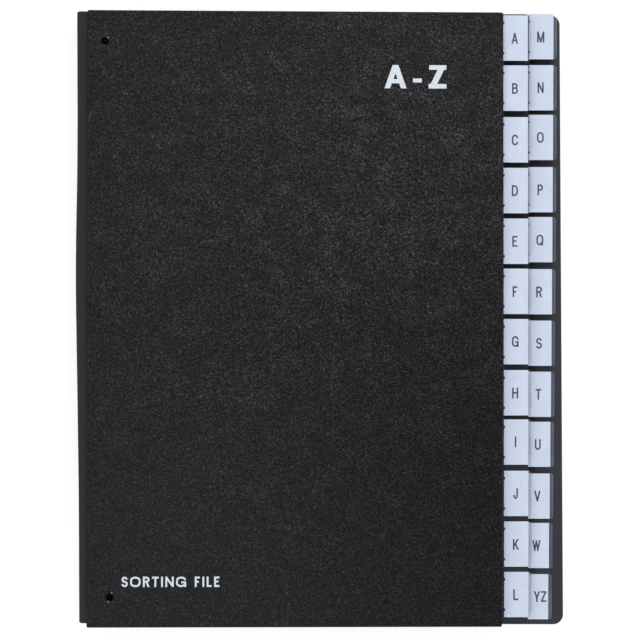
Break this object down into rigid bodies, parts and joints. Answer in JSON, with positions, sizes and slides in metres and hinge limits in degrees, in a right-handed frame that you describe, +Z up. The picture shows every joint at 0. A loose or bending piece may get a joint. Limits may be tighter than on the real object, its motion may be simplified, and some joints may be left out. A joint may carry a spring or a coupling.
{
  "type": "a to z desk sorting file",
  "caption": "Flat desk sorting file for A4 papers with board covers, an expanding pleated spine and lettered index leaves in two tab columns.",
  "frame": {"origin": "centre of the back cover's underside, which rests on the desk", "axes": "+X from the spine towards the tabs, +Y along the spine towards the A tab's end, +Z up off the desk through the shut file"},
  "size_m": [0.2699, 0.34, 0.0227],
  "materials": {
    "covering": "grained, soft sheen",
    "board": "raw grey board",
    "lining": "smooth matt",
    "card": "matt card",
    "bellows": "fine ribbed, soft sheen",
    "label": "white paper in clear film",
    "eyelet": "black gloss"
  },
  "bodies": {
    "back_cover": {"back_cover_board": "board", "back_cover_covering": "covering", "back_cover_lining": "lining", "back_eyelet_top": "eyelet", "back_eyelet_bottom": "eyelet", "spine_bellows": "bellows"},
    "leaf_yz": {"divider_yz": "card", "tab_yz": "label"},
    "leaf_w": {"divider_w": "card", "tab_w": "label"},
    "leaf_v": {"divider_v": "card", "tab_v": "label"},
    "leaf_u": {"divider_u": "card", "tab_u": "label"},
    "leaf_t": {"divider_t": "card", "tab_t": "label"},
    "leaf_s": {"divider_s": "card", "tab_s": "label"},
    "leaf_r": {"divider_r": "card", "tab_r": "label"},
    "leaf_q": {"divider_q": "card", "tab_q": "label"},
    "leaf_p": {"divider_p": "card", "tab_p": "label"},
    "leaf_o": {"divider_o": "card", "tab_o": "label"},
    "leaf_n": {"divider_n": "card", "tab_n": "label"},
    "leaf_m": {"divider_m": "card", "tab_m": "label"},
    "leaf_l": {"divider_l": "card", "tab_l": "label"},
    "leaf_k": {"divider_k": "card", "tab_k": "label"},
    "leaf_j": {"divider_j": "card", "tab_j": "label"},
    "leaf_i": {"divider_i": "card", "tab_i": "label"},
    "leaf_h": {"divider_h": "card", "tab_h": "label"},
    "leaf_g": {"divider_g": "card", "tab_g": "label"},
    "leaf_f": {"divider_f": "card", "tab_f": "label"},
    "leaf_e": {"divider_e": "card", "tab_e": "label"},
    "leaf_d": {"divider_d": "card", "tab_d": "label"},
    "leaf_c": {"divider_c": "card", "tab_c": "label"},
    "leaf_b": {"divider_b": "card", "tab_b": "label"},
    "leaf_a": {"divider_a": "card", "tab_a": "label"},
    "front_cover": {"front_cover_board": "board", "front_cover_covering": "covering", "front_cover_lining": "lining", "front_eyelet_top": "eyelet", "front_eyelet_bottom": "eyelet"}
  },
  "joints": [
    {"name": "turn_yz", "type": "hinge", "parent": "back_cover", "child": "leaf_yz", "pos_m": [-0.13676, 0, 0.00274], "axis": [0, 1, 0], "range_deg": [-7.4, 0], "deforming": ["spine_bellows"]},
    {"name": "turn_w", "type": "hinge", "parent": "leaf_yz", "child": "leaf_w", "pos_m": [-0.13676, 0, 0.00366], "axis": [0, 1, 0], "range_deg": [-7.4, 0], "deforming": ["spine_bellows"]},
    {"name": "turn_v", "type": "hinge", "parent": "leaf_w", "child": "leaf_v", "pos_m": [-0.13676, 0, 0.00436], "axis": [0, 1, 0], "range_deg": [-7.4, 0], "deforming": ["spine_bellows"]},
    {"name": "turn_u", "type": "hinge", "parent": "leaf_v", "child": "leaf_u", "pos_m": [-0.13676, 0, 0.00506], "axis": [0, 1, 0], "range_deg": [-7.4, 0], "deforming": ["spine_bellows"]},
    {"name": "turn_t", "type": "hinge", "parent": "leaf_u", "child": "leaf_t", "pos_m": [-0.13676, 0, 0.00576], "axis": [0, 1, 0], "range_deg": [-7.4, 0], "deforming": ["spine_bellows"]},
    {"name": "turn_s", "type": "hinge", "parent": "leaf_t", "child": "leaf_s", "pos_m": [-0.13676, 0, 0.00646], "axis": [0, 1, 0], "range_deg": [-7.4, 0], "deforming": ["spine_bellows"]},
    {"name": "turn_r", "type": "hinge", "parent": "leaf_s", "child": "leaf_r", "pos_m": [-0.13676, 0, 0.00716], "axis": [0, 1, 0], "range_deg": [-7.4, 0], "deforming": ["spine_bellows"]},
    {"name": "turn_q", "type": "hinge", "parent": "leaf_r", "child": "leaf_q", "pos_m": [-0.13676, 0, 0.00786], "axis": [0, 1, 0], "range_deg": [-7.4, 0], "deforming": ["spine_bellows"]},
    {"name": "turn_p", "type": "hinge", "parent": "leaf_q", "child": "leaf_p", "pos_m": [-0.13676, 0, 0.00856], "axis": [0, 1, 0], "range_deg": [-7.4, 0], "deforming": ["spine_bellows"]},
    {"name": "turn_o", "type": "hinge", "parent": "leaf_p", "child": "leaf_o", "pos_m": [-0.13676, 0, 0.00926], "axis": [0, 1, 0], "range_deg": [-7.4, 0], "deforming": ["spine_bellows"]},
    {"name": "turn_n", "type": "hinge", "parent": "leaf_o", "child": "leaf_n", "pos_m": [-0.13676, 0, 0.00996], "axis": [0, 1, 0], "range_deg": [-7.4, 0], "deforming": ["spine_bellows"]},
    {"name": "turn_m", "type": "hinge", "parent": "leaf_n", "child": "leaf_m", "pos_m": [-0.13676, 0, 0.01066], "axis": [0, 1, 0], "range_deg": [-7.4, 0], "deforming": ["spine_bellows"]},
    {"name": "turn_l", "type": "hinge", "parent": "leaf_m", "child": "leaf_l", "pos_m": [-0.13676, 0, 0.01136], "axis": [0, 1, 0], "range_deg": [-7.4, 0], "deforming": ["spine_bellows"]},
    {"name": "turn_k", "type": "hinge", "parent": "leaf_l", "child": "leaf_k", "pos_m": [-0.13676, 0, 0.01206], "axis": [0, 1, 0], "range_deg": [-7.4, 0], "deforming": ["spine_bellows"]},
    {"name": "turn_j", "type": "hinge", "parent": "leaf_k", "child": "leaf_j", "pos_m": [-0.13676, 0, 0.01276], "axis": [0, 1, 0], "range_deg": [-7.4, 0], "deforming": ["spine_bellows"]},
    {"name": "turn_i", "type": "hinge", "parent": "leaf_j", "child": "leaf_i", "pos_m": [-0.13676, 0, 0.01346], "axis": [0, 1, 0], "range_deg": [-7.4, 0], "deforming": ["spine_bellows"]},
    {"name": "turn_h", "type": "hinge", "parent": "leaf_i", "child": "leaf_h", "pos_m": [-0.13676, 0, 0.01416], "axis": [0, 1, 0], "range_deg": [-7.4, 0], "deforming": ["spine_bellows"]},
    {"name": "turn_g", "type": "hinge", "parent": "leaf_h", "child": "leaf_g", "pos_m": [-0.13676, 0, 0.01486], "axis": [0, 1, 0], "range_deg": [-7.4, 0], "deforming": ["spine_bellows"]},
    {"name": "turn_f", "type": "hinge", "parent": "leaf_g", "child": "leaf_f", "pos_m": [-0.13676, 0, 0.01556], "axis": [0, 1, 0], "range_deg": [-7.4, 0], "deforming": ["spine_bellows"]},
    {"name": "turn_e", "type": "hinge", "parent": "leaf_f", "child": "leaf_e", "pos_m": [-0.13676, 0, 0.01626], "axis": [0, 1, 0], "range_deg": [-7.4, 0], "deforming": ["spine_bellows"]},
    {"name": "turn_d", "type": "hinge", "parent": "leaf_e", "child": "leaf_d", "pos_m": [-0.13676, 0, 0.01696], "axis": [0, 1, 0], "range_deg": [-7.4, 0], "deforming": ["spine_bellows"]},
    {"name": "turn_c", "type": "hinge", "parent": "leaf_d", "child": "leaf_c", "pos_m": [-0.13676, 0, 0.01766], "axis": [0, 1, 0], "range_deg": [-7.4, 0], "deforming": ["spine_bellows"]},
    {"name": "turn_b", "type": "hinge", "parent": "leaf_c", "child": "leaf_b", "pos_m": [-0.13676, 0, 0.01836], "axis": [0, 1, 0], "range_deg": [-7.4, 0], "deforming": ["spine_bellows"]},
    {"name": "turn_a", "type": "hinge", "parent": "leaf_b", "child": "leaf_a", "pos_m": [-0.13676, 0, 0.01906], "axis": [0, 1, 0], "range_deg": [-7.4, 0], "deforming": ["spine_bellows"]},
    {"name": "front_cover_hinge", "type": "hinge", "parent": "leaf_a", "child": "front_cover", "pos_m": [-0.13676, 0, 0.01998], "axis": [0, -1, 0], "range_deg": [0, 186], "deforming": ["spine_bellows"]}
  ]
}
